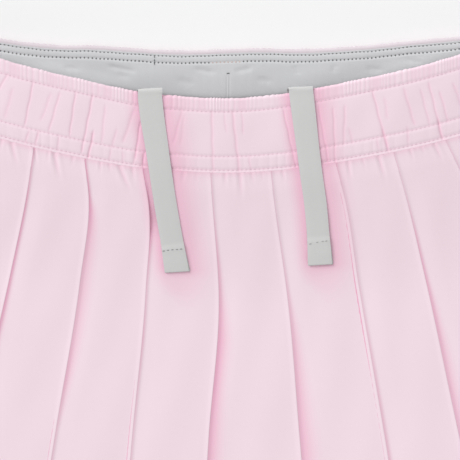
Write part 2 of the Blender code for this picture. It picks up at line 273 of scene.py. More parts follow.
def model_stitch():
    """One stitch, 1 by 1 by 1: a short thread that dives into the cloth at both its ends."""
    bpy.ops.object.select_all(action="DESELECT")
    bpy.ops.mesh.primitive_uv_sphere_add(segments=8, ring_count=6, radius=0.5)
    stitch = bpy.context.object
    bpy.ops.object.mode_set(mode="EDIT")
    bpy.ops.transform.rotate(value=math.pi / 2, orient_axis="Y", center_override=(0, 0, 0))
    bpy.ops.mesh.select_all(action="DESELECT")
    bpy.ops.object.mode_set(mode="OBJECT")
    for vertex in stitch.data.vertices:
        vertex.select = abs(vertex.co.x) > 0.3
    bpy.ops.object.mode_set(mode="EDIT")
    bpy.ops.transform.translate(value=(0, 0, -0.35))
    bpy.ops.object.mode_set(mode="OBJECT")
    points = np.array([v.co for v in stitch.data.vertices])
    faces = [tuple(p.vertices) for p in stitch.data.polygons]
    bpy.data.objects.remove(stitch)
    return points, faces


STITCH_POINTS, STITCH_FACES = model_stitch()


def stitch_row(name, centres, along, up, size, finish):
    """A row of stitches, one at each centre, of this length, width and height."""
    along = unit(along)
    side = unit(np.cross(up, along))
    up = np.cross(along, side)
    shape = STITCH_POINTS * size
    points = centres[:, None] + sum(
        shape[None, :, i, None] * axis[:, None] for i, axis in enumerate((along, side, up))
    )
    step = len(STITCH_POINTS)
    faces = [[i + k * step for i in face] for k in range(len(centres)) for face in STITCH_FACES]
    data = bpy.data.meshes.new(name)
    data.from_pydata(points.reshape(-1, 3).tolist(), [], faces)
    data.shade_smooth()
    data.materials.append(finish)
    return in_scene(name, data)


def smooth_route(stops):
    """Points on a smooth curve through the stops, closer where those are closer."""
    stops = np.array(stops)
    stops = np.vstack((2 * stops[0] - stops[1], stops, 2 * stops[-1] - stops[-2]))
    route = []
    for before, start, end, after in zip(stops, stops[1:], stops[2:], stops[3:]):
        for k in range(CORD_STEPS):
            x = k / CORD_STEPS
            bend = 2 * before - 5 * start + 4 * end - after
            twist = 3 * start - before - 3 * end + after
            route.append((2 * start + (end - before) * x + bend * x**2 + twist * x**3) / 2)
    return np.array([*route, stops[-2]])


def make_drawcord(name, stops, fold_line, end_slant, stitch_slant, stitches, cloth, thread):
    """One free end of the tape, and the stitches across it.

    The slants are how far the turned end and its stitches drop to the right, as a slope.
    """
    route = smooth_route(stops)
    along = unit(np.gradient(route, axis=0))
    over_edge, settled = CORD_OVER_EDGE * CORD_STEPS, CORD_SETTLED * CORD_STEPS
    run = route[-1] - route[over_edge]
    square = unit(np.array((-run[1], run[0], 0.0)))
    turned = smooth((np.arange(len(route)) - over_edge) / (settled - over_edge))[:, None]
    level = unit(np.array(fold_line)) * (1 - turned) + square * turned
    across = unit(level - along * np.sum(level * along, axis=1, keepdims=True))
    out = np.cross(along, across)
    steps = np.linalg.norm(np.diff(route, axis=0), axis=1)
    left = np.concatenate((np.cumsum(steps[::-1])[::-1], (0.0,)))  # distance to the end

    pressed = smooth((HEM_LENGTH + HEM_RAMP - left) / HEM_RAMP) * HEM_PRESSED
    sprung = smooth((HEM_LENGTH - 0.001 - left) / 0.005) * (HEM_OPEN - HEM_PRESSED)
    welt = WELT_RISE * np.exp(-(((left - HEM_LENGTH - WELT_AT) / WELT_WIDTH) ** 2))
    lift = pressed + sprung + welt
    radius = (HEM_OPEN - HEM_UNDER) / 2
    upper = left > radius
    centres = [route[upper] + out[upper] * lift[upper, None]]
    lengths = [-left[upper]]
    turn = np.linspace(0, math.pi, TURN_STEPS)
    middle = (HEM_OPEN + HEM_UNDER) / 2
    centres.append(
        route[-1]
        + along[-1] * (radius * (np.sin(turn) - 1))[:, None]
        + out[-1] * (middle + radius * np.cos(turn))[:, None]
        + across[-1] * (HEM_SKEW * smooth(turn / math.pi))[:, None]
    )
    lengths.append(-radius + radius * turn)
    under = (left > radius * 1.4) & (left < HEM_LENGTH + 0.0006)
    skew = HEM_SKEW * (1 - left[under] / HEM_LENGTH)
    back = route[under] + out[under] * HEM_UNDER + across[under] * skew[:, None]
    centres.append(back[::-1])
    lengths.append(radius * (math.pi - 1) + (left[under][::-1] - radius))
    last = np.repeat(across[-1:], TURN_STEPS, axis=0)
    sides = np.vstack((across[upper], last, across[under][::-1]))
    outs = np.vstack((out[upper], np.repeat(out[-1:], TURN_STEPS, axis=0), out[under][::-1]))
    centres, lengths = np.vstack(centres), np.concatenate(lengths)

    share = np.linspace(-1, 1, TAPE_COLUMNS)[None, :, None]
    from_end = np.linalg.norm(centres - route[-1], axis=1)
    narrower = CORD_NARROWER * smooth((CORD_WIDE_AGAIN - from_end) / CORD_WIDENS_OVER)
    narrower = narrower * smooth(from_end / CORD_NARROWS_OVER)
    half = CORD_WIDTH / 2 * (1 - narrower)[:, None, None]
    points = centres[:, None] + sides[:, None] * (share * half)
    points = points - outs[:, None] * (share**4 * TAPE_CROWN)
    slant = end_slant * (1 - smooth((from_end - 0.003) / 0.012))
    points = points + along[-1] * share * (slant * CORD_WIDTH / 2)[:, None, None]
    wide, long = np.meshgrid(share.ravel() * CORD_WIDTH / 2, lengths)
    faces = grid_faces(*points.shape[:2])
    tape = cloth_mesh(name, points, np.dstack((wide, long)), faces, cloth, TAPE_WALL)

    at = np.argmin(np.abs(left - HEM_LENGTH))
    where = np.array(stitches) / 1000
    wave = stitch_slant * where + 0.0001 * np.sin(5 * np.arange(len(where)))
    top = lift[at] + TAPE_WALL / 2 + 0.00003
    seats = route[at] + across[at] * where[:, None] + out[at] * top + along[at] * wave[:, None]
    row = stitch_row(
        name + "_stitches",
        seats,
        np.repeat(across[at : at + 1] + stitch_slant * along[at], len(where), axis=0),
        np.repeat(out[at : at + 1], len(where), axis=0),
        (CORD_STITCH_LENGTH, 0.00038, 0.00025),
        thread,
    )
    hand_over(tape, "grey_tape", name)
    hand_over(row, "grey_tape")


tape_cloth = cloth_finish("drawcord_tape", TAPE_COLOUR, 0.8, TAPE_RIB, 0.6, 0.25, 0.1)
tape_thread = thread_finish("drawcord_thread", GREY_LIGHT_THREAD)
pale_thread = thread_finish("pale_thread", (0.440, 0.435, 0.430))
make_drawcord(
    "drawcord_left",
    LEFT_CORD,
    (1.0, 0.06, 0.0),
    0.10,
    0.04,
    (-4.1, -2.3, -0.4, 1.5, 3.2),
    tape_cloth,
    tape_thread,
)
make_drawcord(
    "drawcord_right",
    RIGHT_CORD,
    (1.0, 0.04, 0.0),
    0.0,
    -0.12,
    (-3.6, -0.7, 1.6, 3.1),
    tape_cloth,
    pale_thread,
)

# --- Back skirt ---
# The back's panel of thin woven polyester is pressed into even pleats that point to the left,
# and lies face down. It is cut as a fan, so that the folds spread towards the hem.
WAIST_HALF = 0.130
LENGTH = 0.320
BAND_DEPTH = 0.0331
FAN_TOP = 0.3196  # apex to the waist, at its sides
HALF_ANGLE = math.asin(WAIST_HALF / FAN_TOP)
FAN_HEM = FAN_TOP + LENGTH
APEX_Y = (FAN_HEM + FAN_TOP * math.cos(HALF_ANGLE)) / 2
BACK_RISE = 0.017
BACK_TUCK = 0.003
# How much lower than an even curve the back's top edge lies at these angles, in mm.
BACK_EDGE_ANGLES = (-24, -19, -16.7, -14.6, -12.4, -11.1, -9.7, -8.1, -5, -3, -1, 1, 2.7, 5.5, 8.8,
                    12.5, 14.2, 15.7, 17.5, 24)
BACK_EDGE_DROPS = (0, 0.2, 0.6, 0.7, 0.3, -0.3, -0.5, -0.3, 0, -0.1, -0.5, -1.0, -1.0, -0.3, -0.2,
                   -0.4, -0.6, -0.5, -0.3, 0)
SEAM_ROW = 0.0334
CLOTH = 0.001  # the solid's wall
SEAM_GAP = 0.0003
LAYER_GAP = 0.0004
LAYER_STEP = CLOTH + SEAM_GAP
PLEAT_STACK = 3 * CLOTH + 2 * SEAM_GAP
SKIRT_WALL = 0.00022  # the real cloth's
FOLD_RADIUS = 0.00022
SIDE_CLOSE = 0.004  # the front and the back come together over this much at a side
PINK = (0.853, 0.685, 0.754)
PAINTED_SHADE_PINK = (0.820, 0.411, 0.560)  # painted shade, in folds and beside the cords, where light bounces between pink faces
WEAVE_PITCH = 0.00042
BACK_COLUMNS = 16  # a panel's columns between two folds
BACK_SPANS = (0.0329, 0.060, 20), (0.060, 0.160, 26), (0.160, LENGTH, 24)
BACK_FOLDS = [-18.9 + 3.95 * i for i in range(11)]
BACK_DEPTH = 0.0105

pink_cloth = cloth_finish("pink_woven_cloth", PINK, 0.7, WEAVE_PITCH, 0.2, 0.12, 0.12, PAINTED_SHADE_PINK)


def through(places, values, at):
    """A smooth curve through the listed values, read at these places."""
    places, values = np.array(places, float), np.array(values, float)
    slopes = np.gradient(values, places)
    i = np.clip(np.searchsorted(places, at) - 1, 0, len(places) - 2)
    span = places[i + 1] - places[i]
    x = np.clip((at - places[i]) / span, 0, 1)
    start = values[i] * (1 + 2 * x) * (1 - x) ** 2 + slopes[i] * span * x * (1 - x) ** 2
    end = values[i + 1] * x * x * (3 - 2 * x) - slopes[i + 1] * span * x * x * (1 - x)
    return start + end


def back_radius(share, down):
    """Distance from the apex on the back. share is -1 at the left side and 1 at the right."""
    top = FAN_TOP - BACK_RISE * (1 - share * share)
    uneven = through(BACK_EDGE_ANGLES, BACK_EDGE_DROPS, np.degrees(share * HALF_ANGLE)) / 1000
    top = top + uneven * (1 - smooth(down / 0.04))
    below = np.maximum(0, down - SEAM_ROW) / (LENGTH - SEAM_ROW)
    return top + down + below * (FAN_HEM - BACK_TUCK - top - LENGTH)


def spaced(*spans):
    """Places in spans that follow each other, each from a start to an end with this many."""
    return np.concatenate([np.linspace(*span, endpoint=span is spans[-1]) for span in spans])


def arc_half(down):
    """Half the garment's width along the arc at this place."""
    return (FAN_TOP + down) * HALF_ANGLE


def on_fan(place, height, down, radius_of):
    """The points at these places along the arc, on rows of the front or of the back."""
    share = place / arc_half(down)
    radius = radius_of(share, down)
    angle = share * HALF_ANGLE
    return np.stack((radius * np.sin(angle), APEX_Y - radius * np.cos(angle), height), -1)


def climb(share):
    """How far a panel has risen onto the next pleat's layers: even, with soft ends."""
    share = np.clip(share, 0, 1)
    return (share + smooth(share)) / 2


def pleated_line(folds, tucks, steps, half, ends_drop, count, nestle):
    """Places and drops below the top layer of a pleated cloth's middle, row by row.

    folds, tucks and steps have one column for each pleat and one row for each row of cloth.
    Each panel has count columns, closer where it comes out from under a fold. nestle is how
    much of the step there it makes up at once.
    """
    shares = 0.988 * np.linspace(0, 1, count) ** 1.3
    columns = []
    start, drop = -half, np.full_like(half, ends_drop)
    for i in range(folds.shape[1] + 1):
        last = i == folds.shape[1]
        edge = half if last else folds[:, i]
        tuck = 0 * half if last else tucks[:, i]
        free = edge - tuck - start
        reach = free - 0.0015
        if not last:
            reach = np.minimum(reach, 0.006 + 7 * drop)
        to_drop = ends_drop if last else 0.0
        radius = 0 * half if last else np.minimum(FOLD_RADIUS, steps[:, i] / 4)
        for share in (*shares, *((1.0,) if last else ())):
            place = start + (edge - radius - start) * share
            risen = climb((place - start - 0.0003) / reach)
            raised = nestle[:, i - 1] * np.exp(-(place - start) / (0.0006 + 0.6 * drop)) if i else 0.0
            columns.append((place, drop * (1 - raised) + (to_drop - drop) * risen))
        if last:
            break
        step = steps[:, i]
        for turn in np.linspace(0, math.pi, 5):
            columns.append((edge - radius + radius * math.sin(turn), radius * (1 - math.cos(turn))))
        inner = edge - tuck + radius
        for share in (0.01, 0.02, 0.035, 0.3, 0.65):
            place = edge - radius + (inner - edge + radius) * share
            columns.append((place, 2 * radius + (step - 4 * radius) * smooth(share / 0.035)))
        for turn in np.linspace(0, math.pi, 3):
            place = inner - radius * math.sin(turn)
            columns.append((place, step - radius * (1 + math.cos(turn))))
        for share in (0.4, 0.8, 0.985):
            columns.append((inner + (edge - inner) * share, step))
        start, drop = edge, step
    return np.stack([c[0] for c in columns], -1), np.stack([c[1] for c in columns], -1)


def closing(place, down):
    """1 at the garment's sides, where the front and the back come together, and 0 inside."""
    return smooth((np.abs(place) - arc_half(down) + SIDE_CLOSE) / SIDE_CLOSE)


def cloth_panel(name, points, down, finish, wall, painted_shade_and_lip=None):
    """A piece from its grid of points, its pattern measured along each row of the cloth."""
    lengths = np.linalg.norm(np.diff(points, axis=1), axis=2)
    along = np.hstack((0 * lengths[:, :1], np.cumsum(lengths, axis=1)))
    faces = grid_faces(*down.shape)
    return cloth_mesh(name, points, np.dstack((along, down)), faces, finish, wall, painted_shade_and_lip)


def make_skirt_back():
    """The back's pleats, turned over so that their fold edges lie on the floor."""
    down = spaced(*BACK_SPANS)
    folds = np.radians(BACK_FOLDS)[None] * (FAN_TOP + down[:, None])
    tucks = np.full_like(folds, BACK_DEPTH)
    steps = np.full_like(folds, 2 * LAYER_STEP)
    nestle = np.zeros_like(folds)
    place, drop = pleated_line(folds, tucks, steps, arc_half(down), 0.0, BACK_COLUMNS, nestle)
    place, drop = -place[:, ::-1], drop[:, ::-1]
    rows = np.repeat(down[:, None], place.shape[1], axis=1)
    height = SKIRT_WALL / 2 + drop + (CLOTH - SKIRT_WALL) * closing(place, rows)
    points = on_fan(place, height, rows, back_radius)
    return cloth_panel("skirt_back", points, rows, pink_cloth, SKIRT_WALL)


skirt_back = hand_over(make_skirt_back(), "pink_cloth", "skirt_back")

# --- Back waistband ---
# The waistband is a casing of the same cloth over wide elastic, held by three rows of
# stitching. On the back its inside shows as a narrow pink edge above the grey lining.
BAND_WALL = 0.003
BAND_TURN = 0.0027
SIDE_SEAM_HEIGHT = BAND_WALL + CLOTH + LAYER_GAP + SEAM_GAP / 2
EDGE_ROUND = 0.0011  # how far down the band's wall rounds off at its top edge
LIP_ROUND = 0.0005
STITCH_ROWS = (0.0056, 0.0253, 0.0314)
STITCH_PITCH = 0.00185
RUFFLE_PITCH = 0.0018
BACK_BAND_COLUMNS = 420
TURN_COLUMNS = 8
CREASE_FADE = 0.003
LIP_PINK = (0.680, 0.610, 0.650)

Crease = namedtuple("Crease", "top bottom start end depth width")  # degrees, then mm


def creases(*rows):
    """A table of listed creases, its columns in the order above."""
    return [Crease(*row) for row in rows]


def creased(angle, down, creases):
    """How deep the listed creases lie, each a narrow dip with softer sides."""
    depth = 0 * angle * down
    for c in creases:
        start, end = c.start / 1000, c.end / 1000
        middle = c.top + (c.bottom - c.top) * np.clip((down - start) / (end - start), 0, 1)
        middle = middle + 0.018 * np.sin(700 * down + 7 * c.top)
        across = np.radians(angle - middle) * (FAN_TOP + down) * 1000 / c.width
        fade = smooth((down - start) / CREASE_FADE) * smooth((end - down) / CREASE_FADE)
        shape = 0.55 * np.exp(-(across**2)) + 0.2 * np.exp(-((across / 3) ** 2))
        depth = depth + c.depth / 1000 * fade * shape
    return depth


def angle_of(place, down):
    """The angle round the apex, in degrees, at this place along the arc."""
    return np.degrees(place / (FAN_TOP + down))


def near_rows(down, rows, width):
    """1 at these rows, and 0 further from them than about this width."""
    return sum(np.exp(-(((down - row) / width) ** 2)) for row in rows)


def ruffles(place, pitch, shift):
    """Round ridges with narrow dips between them, 0 to 1, as uneven as gathers are."""
    turns = place / pitch + 0.55 * np.sin(place / (2.9 * pitch) + shift)
    turns = turns + 0.38 * np.sin(place / (1.23 * pitch) + 2 * shift)
    ridge = np.abs(np.sin(math.pi * turns)) ** 0.7
    uneven = 0.3 * np.sin(place / (1.7 * pitch) + 3 * shift) + 0.2 * np.sin(place / (0.71 * pitch))
    return ridge * (0.6 + uneven)


def band_middle(down, columns, middle_of, turn):
    """Places and heights of the band's middle on each row. Its ends turn up or down."""
    end_height = SIDE_SEAM_HEIGHT - turn * SEAM_GAP / 2
    side = arc_half(down) - BAND_WALL / 2
    flat_half = side - BAND_TURN
    flat = np.linspace(-1, 1, columns)[None] * flat_half[:, None]
    height = middle_of(flat / arc_half(down)[:, None], down[:, None]) + 0 * flat
    angle = np.linspace(0, math.pi / 2, TURN_COLUMNS + 1)[None, 1:]
    bend = flat_half[:, None] + BAND_TURN * np.sin(angle)
    rise = turn * BAND_TURN * (1 - np.cos(angle))
    left, right = height[:, :1] + rise, height[:, -1:] + rise
    upright = np.linspace(0, 1, 5)[None, 1:]
    ends = [end[:, -1:] + (end_height - end[:, -1:]) * upright for end in (left, right)]
    stays = np.repeat(side[:, None], upright.size, axis=1)
    place = np.hstack((-stays, -bend[:, ::-1], flat, bend, stays))
    height = np.hstack((ends[0][:, ::-1], left[:, ::-1], height, right, ends[1]))
    return place, height


def band_mesh(name, columns, middle_of, turn, relief_of, radius_of, outer_rows, shade_and_lip_of, finish):
    """A waistband half as one closed casing: its inside, top edge, outside and lower edge."""
    rounding = np.linspace(-math.pi / 2, math.pi / 2, 11)[1:-1]
    inner = np.linspace(BAND_DEPTH - LIP_ROUND, EDGE_ROUND, 7)
    outer = np.linspace(EDGE_ROUND, BAND_DEPTH - LIP_ROUND, outer_rows)
    down = np.concatenate(
        (
            inner,
            EDGE_ROUND * (1 - np.cos(rounding)),
            outer,
            BAND_DEPTH - LIP_ROUND * (1 - np.cos(rounding)),
        )
    )
    level = np.concatenate(
        (np.full(7, -1.0), np.sin(rounding), np.ones(outer_rows), -np.sin(rounding))
    )
    place, height = band_middle(down, columns, middle_of, turn)
    along = np.gradient(place, axis=1), np.gradient(height, axis=1)
    size = np.hypot(*along)
    normal = -turn * -along[1] / size, -turn * along[0] / size
    rows = np.repeat(down[:, None], place.shape[1], axis=1)
    relief = relief_of(place, rows) * np.maximum(0, level)[:, None] ** 0.5
    stand = BAND_WALL / 2 * level[:, None] + relief
    edge = edge_of(place) * np.exp(-rows / 0.0012)
    points = on_fan(place + normal[0] * stand, height + normal[1] * stand, rows, radius_of)
    points[..., 1] += edge
    count, wide = place.shape
    faces = grid_faces(count, wide)
    index = np.arange(count * wide).reshape(count, wide)
    wrap = np.stack((index[-1, :-1], index[0, :-1], index[0, 1:], index[-1, 1:]), -1)
    faces = np.vstack((faces, wrap))
    if turn > 0:
        faces = faces[:, ::-1]
    pattern = np.dstack((place, rows * np.where(level < 0, -1, 1)[:, None]))
    painted_shade_and_lip = shade_and_lip_of(place, rows, level[:, None])
    made = cloth_mesh(name, points, pattern, faces, finish, painted_shade_and_lip=painted_shade_and_lip)
    bpy.ops.object.mode_set(mode="EDIT")
    bpy.ops.mesh.select_all(action="SELECT")
    bpy.ops.mesh.fill_holes(sides=0)
    bpy.ops.mesh.normals_make_consistent(inside=False)
    bpy.ops.object.mode_set(mode="OBJECT")
    bpy.ops.object.shade_smooth_by_angle(angle=math.radians(55))
    return made


def edge_of(place):
    """How much the top edge stands up with each ruffle."""
    return 0.00042 * ruffles(place, RUFFLE_PITCH, 1.0)


BACK_CREASES = creases(
    (-22.6, -22.3, 5, 24, 0.35, 0.7),
    (-21.1, -21.3, 4, 31, 0.45, 0.6),
    (-20.2, -20.1, 8, 19, 0.25, 0.8),
    (-18.4, -18.0, 5, 32, 0.50, 0.6),
    (-17.1, -17.3, 12, 26, 0.30, 0.7),
    (-15.9, -15.9, 4, 22, 0.35, 0.8),
    (-14.2, -14.6, 5, 33, 0.50, 0.6),
    (-13.5, -13.3, 18, 31, 0.25, 0.6),
    (-11.8, -11.6, 6, 25, 0.35, 0.7),
    (-10.3, -10.4, 4, 31, 0.45, 0.6),
    (-9.6, -9.2, 9, 21, 0.25, 0.8),
    (-7.5, -7.9, 5, 32, 0.50, 0.7),
    (-5.9, -5.8, 14, 28, 0.30, 0.7),
    (-4.4, -4.1, 4, 23, 0.40, 0.6),
    (-2.2, -2.3, 6, 33, 0.45, 0.6),
    (-1.2, -0.8, 5, 17, 0.30, 0.8),
    (0.9, 0.6, 8, 31, 0.45, 0.6),
    (2.8, 3.0, 4, 20, 0.30, 0.7),
    (4.1, 3.9, 15, 32, 0.35, 0.6),
    (5.2, 5.7, 5, 26, 0.50, 0.7),
    (7.9, 7.7, 4, 31, 0.40, 0.6),
    (8.8, 8.9, 10, 22, 0.25, 0.8),
    (10.6, 10.2, 5, 33, 0.50, 0.6),
    (12.5, 12.8, 7, 24, 0.35, 0.7),
    (13.7, 13.7, 20, 32, 0.30, 0.6),
    (15.3, 15.0, 4, 30, 0.45, 0.7),
    (17.4, 17.7, 5, 21, 0.35, 0.8),
    (18.9, 18.8, 6, 32, 0.50, 0.6),
    (20.7, 20.9, 12, 27, 0.30, 0.7),
    (22.2, 22.0, 5, 30, 0.40, 0.6),
)


def back_relief(place, down):
    """The outside of the back's band, which lies on the floor: gathers pressed flat."""
    creases_here = creased(angle_of(place, down), down, BACK_CREASES)
    dips = near_rows(down, STITCH_ROWS, 0.0006)
    gathers = 0.0002 * ruffles(place, RUFFLE_PITCH, 2.0) * (1 - smooth((down - 0.0036) / 0.0022))
    return -0.0004 - 0.0003 * dips - creases_here * 0.6 + gathers


band_inside = cloth_finish("pink_band_inside", PINK, 0.7, WEAVE_PITCH, 0.2, 0.12, 0.12, LIP_PINK)
waistband_back = band_mesh(
    "waistband_back",
    BACK_BAND_COLUMNS,
    lambda share, down: BAND_WALL / 2,
    1,
    back_relief,
    back_radius,
    26,
    # Here the mix marks the band's inside and top edge in the lip's greyer pink, not painted shade.
    lambda place, down, level: smooth((0.3 - level) / 0.4) + 0 * place,
    band_inside,
)
hand_over(waistband_back, "pink_cloth", "waistband_back")

# --- Shorts ---
# Under the skirt are shorts of grey jersey, a front and a back. Their tops line the waist, held
# to the band by two rows of dark stitching, and show where the waist stands open.
SHORTS_LENGTH = 0.238
CROTCH = 0.190
LEG_SPLIT = 0.012
GIRTH_ROWS = (0.0240, 0.032, 0.085, 0.145, SHORTS_LENGTH)
GIRTH_HALVES = (0.1405, 0.1390, 0.1450, 0.1510, 0.1540)
KNIT_WALL = 0.0006
KNIT_TOP = 0.0018  # where the lining's top edge lies, down from the band's
MOUTH_GAP = 0.007
MOUTH_REACH = 0.095
MOUTH_FLATNESS = 6
FRONT_DIP = 0.0033
DIP_AT = -0.03
DIP_REACH = 0.5
LEFT_DIP = 0.0011
DIP_DEPTH = 0.070
GREY = (0.700, 0.710, 0.724)
PAINTED_SHADE_GREY = (0.300, 0.285, 0.300)  # painted shade, where the front's edge shades the lining
LINING_SHADE_BASE = 0.17  # how much of that painted shade the lining has all over
KNIT_PITCH = 0.0005
LINING_ROWS = (0.00245, 0.00525)
LINING_PITCH = 0.00172
BACK_SEAM_START = 0.0100
BEIGE_FROM, BEIGE_TO = -0.0071, 0.0052  # where the lower row is sewn again in another thread
BEIGE_THREAD = (0.62, 0.50, 0.47)
TACK_PLACE, TACK_FROM, TACK_TO = -0.0311, 0.1609, 0.1579

Wrinkle = namedtuple("Wrinkle", "x1 y1 x2 y2 depth width")  # mm, on the plan
LINING_WRINKLES = [Wrinkle(*row) for row in (
    (-52, 157.3, -38, 154.4, 0.35, 1.1),
    (-47, 153.8, -41, 152.0, 0.25, 1.4),
    (-15, 156.0, -5, 154.0, 0.30, 1.2),
    (2, 154.4, 11, 156.4, 0.30, 1.2),
    (-22, 151.5, -14, 149.0, 0.25, 1.5),
    (12, 152.0, 19, 150.0, 0.25, 1.4),
    (28, 157.5, 30, 153.0, 0.25, 0.9),
    (45, 157.9, 44, 153.6, 0.25, 0.9),
    (58, 156.0, 66, 155.0, 0.25, 1.3),
    (-70, 156.5, -62, 155.6, 0.25, 1.3),
    (74, 160.0, 82, 158.2, 0.25, 1.2),
)]

grey_knit = cloth_finish("grey_jersey", GREY, 0.85, KNIT_PITCH, 0.75, 0.3, 0.1, PAINTED_SHADE_GREY)
grey_thread = thread_finish("grey_thread", GREY_THREAD)
beige_thread = thread_finish("beige_thread", BEIGE_THREAD)


def front_radius(share, down):
    """Distance from the apex on the front, whose top edge dips a little at its middle."""
    dip = FRONT_DIP * (1 - smooth(np.abs(share - DIP_AT) / DIP_REACH))
    dip = dip + LEFT_DIP * smooth((-share - 0.1) / 0.2) * (1 - smooth((-share - 0.7) / 0.3))
    return FAN_TOP + down + dip * (1 - smooth(down / DIP_DEPTH))


def back_shorts_floor(share, down):
    """Underside of the back shorts, on the back's band and then on its pleats."""
    onto_pleats = smooth((down - 0.4 * BAND_DEPTH) / (0.5 * BAND_DEPTH))
    return BAND_WALL + (PLEAT_STACK - BAND_WALL) * onto_pleats + SEAM_GAP + 0 * share


def front_shorts_floor(share, down):
    """Underside of the front shorts, which stand off the back where the waist is open."""
    across = 1 - np.minimum(1.0, np.abs(share)) ** MOUTH_FLATNESS
    open_by = MOUTH_GAP * across * (1 - smooth(down / MOUTH_REACH))
    return back_shorts_floor(share, down) + CLOTH + LAYER_GAP + open_by


def shorts_half(down):
    """Half the shorts' width along the arc. In the band they end where it turns."""
    in_band = arc_half(down) - BAND_WALL / 2 - BAND_TURN - SEAM_GAP
    return np.where(down <= GIRTH_ROWS[0], in_band, np.interp(down, GIRTH_ROWS, GIRTH_HALVES))


def plan_dips(points, wrinkles):
    """How deep the wrinkles lie at these points, each along a short line on the plan."""
    depth = 0 * points[..., 0]
    for w in wrinkles:
        start, end = np.array((w.x1, w.y1)) / 1000, np.array((w.x2, w.y2)) / 1000
        run = end - start
        share = np.clip((points[..., :2] - start) @ run / (run @ run), 0, 1)
        away = np.linalg.norm(points[..., :2] - start - share[..., None] * run, axis=-1) * 1000
        fade = smooth(share / 0.3) * smooth((1 - share) / 0.3) * 0.9 + 0.1
        depth = depth + w.depth / 1000 * fade * np.exp(-((away / w.width) ** 2))
    return depth


def lining_face(place, down):
    """Points of the back lining's upper side, with its stitch rows, its seam and wrinkles."""
    top = back_shorts_floor(place / arc_half(down), down) + CLOTH
    points = on_fan(place, top + 0 * place, down, back_radius)
    rows = near_rows(down, LINING_ROWS, 0.0005)
    below = smooth((down - BACK_SEAM_START) / 0.002)
    seam = below * np.exp(-(((np.abs(place) - 0.0006) / 0.0003) ** 2))
    waves = 0.00015 * np.sin(place / 0.0061 + down / 0.009) * smooth((down - 0.006) / 0.005)
    drop = 0.00022 * rows + 0.0001 * seam + plan_dips(points, LINING_WRINKLES)
    points[..., 2] += waves - drop - KNIT_WALL / 4
    return points


def lining_painted_shade(points):
    """The lining's painted shade: darkest as a painted shadow against the front's edge, palest near it at
    the sides, where painted light takes it away.
    """
    radius = np.hypot(points[..., 0], APEX_Y - points[..., 1])
    angle = np.arctan2(points[..., 0], APEX_Y - points[..., 1])
    off = np.maximum(0, front_radius(angle / HALF_ANGLE, 0.0) - radius) * 1000
    x = points[..., 0] * 1000
    middle = smooth((x + 62) / 22) * (1 - smooth((x - 28) / 24))
    # painted shadow along the front's edge, strongest at the middle
    painted_edge_shadow = (0.22 + 0.48 * middle) * np.exp(-((off / 1.1) ** 1.5))
    # painted light: less of the shade near the edge at the sides
    pale = smooth((-x - 36) / 22) + 0.8 * smooth((x - 52) / 26)
    pale = pale * (1 - smooth((off - 3.5) / 4))
    return LINING_SHADE_BASE * (1 - pale) + painted_edge_shadow


def make_shorts(name, face_of, top_rows):
    """The front or the back of the shorts: two legs, joined above the crotch."""
    hidden = (0.024, 0.034, 10), (0.034, CROTCH, 30), (CROTCH, SHORTS_LENGTH, 12)
    down = spaced((KNIT_TOP, 0.024, top_rows), *hidden)
    share = spaced((0, 0.02, 12), (0.02, 1, 130))
    points, pattern, faces = [], [], []
    for side in (-1, 1):
        inner = LEG_SPLIT * np.maximum(0, down - CROTCH) / (SHORTS_LENGTH - CROTCH)
        width = shorts_half(down) - inner
        place = side * (inner[:, None] + width[:, None] * share)
        rows = np.repeat(down[:, None], len(share), axis=1)
        if side < 0:
            place = place[:, ::-1]
        faces.append(grid_faces(*place.shape) + len(faces) * place.size)
        points.append(face_of(place, rows).reshape(-1, 3))
        pattern.append(np.dstack((place, rows)).reshape(-1, 2))
    points, pattern, faces = np.vstack(points), np.vstack(pattern), np.vstack(faces)
    painted_shade_and_lip = lining_painted_shade(points)
    piece = cloth_mesh(name, points, pattern, faces, grey_knit, painted_shade_and_lip=painted_shade_and_lip)
    bpy.ops.object.mode_set(mode="EDIT")
    bpy.ops.mesh.select_all(action="SELECT")
    bpy.ops.mesh.remove_doubles(threshold=1e-6)
    bpy.ops.object.mode_set(mode="OBJECT")
    thick = piece.modifiers.new("wall", "SOLIDIFY")
    thick.thickness = KNIT_WALL
    thick.offset = -1.0
    bpy.ops.object.modifier_apply(modifier="wall")
    return hand_over(piece, "grey_knit", name + "_left", name + "_right")


def stitches_on(name, face_of, places, down, size, finish, slot):
    """A row of stitches along a row of the cloth, at these places."""
    places = np.asarray(places)
    rows = np.full_like(places, down)
    centres = face_of(places, rows)
    along = face_of(places + size[0] / 2, rows) - face_of(places - size[0] / 2, rows)
    up = np.repeat([[0.0, 0.0, 1.0]], len(places), axis=0)
    return hand_over(stitch_row(name, centres, along, up, size, finish), slot)


def along_row(half, pitch):
    """Places along a row this wide, one at its middle."""
    count = int(half / pitch)
    return np.arange(-count, count + 1) * pitch


def front_shorts_face(place, down):
    """Points of the front shorts' upper side."""
    top = front_shorts_floor(place / arc_half(down), down) + CLOTH
    return on_fan(place, top, down, front_radius)


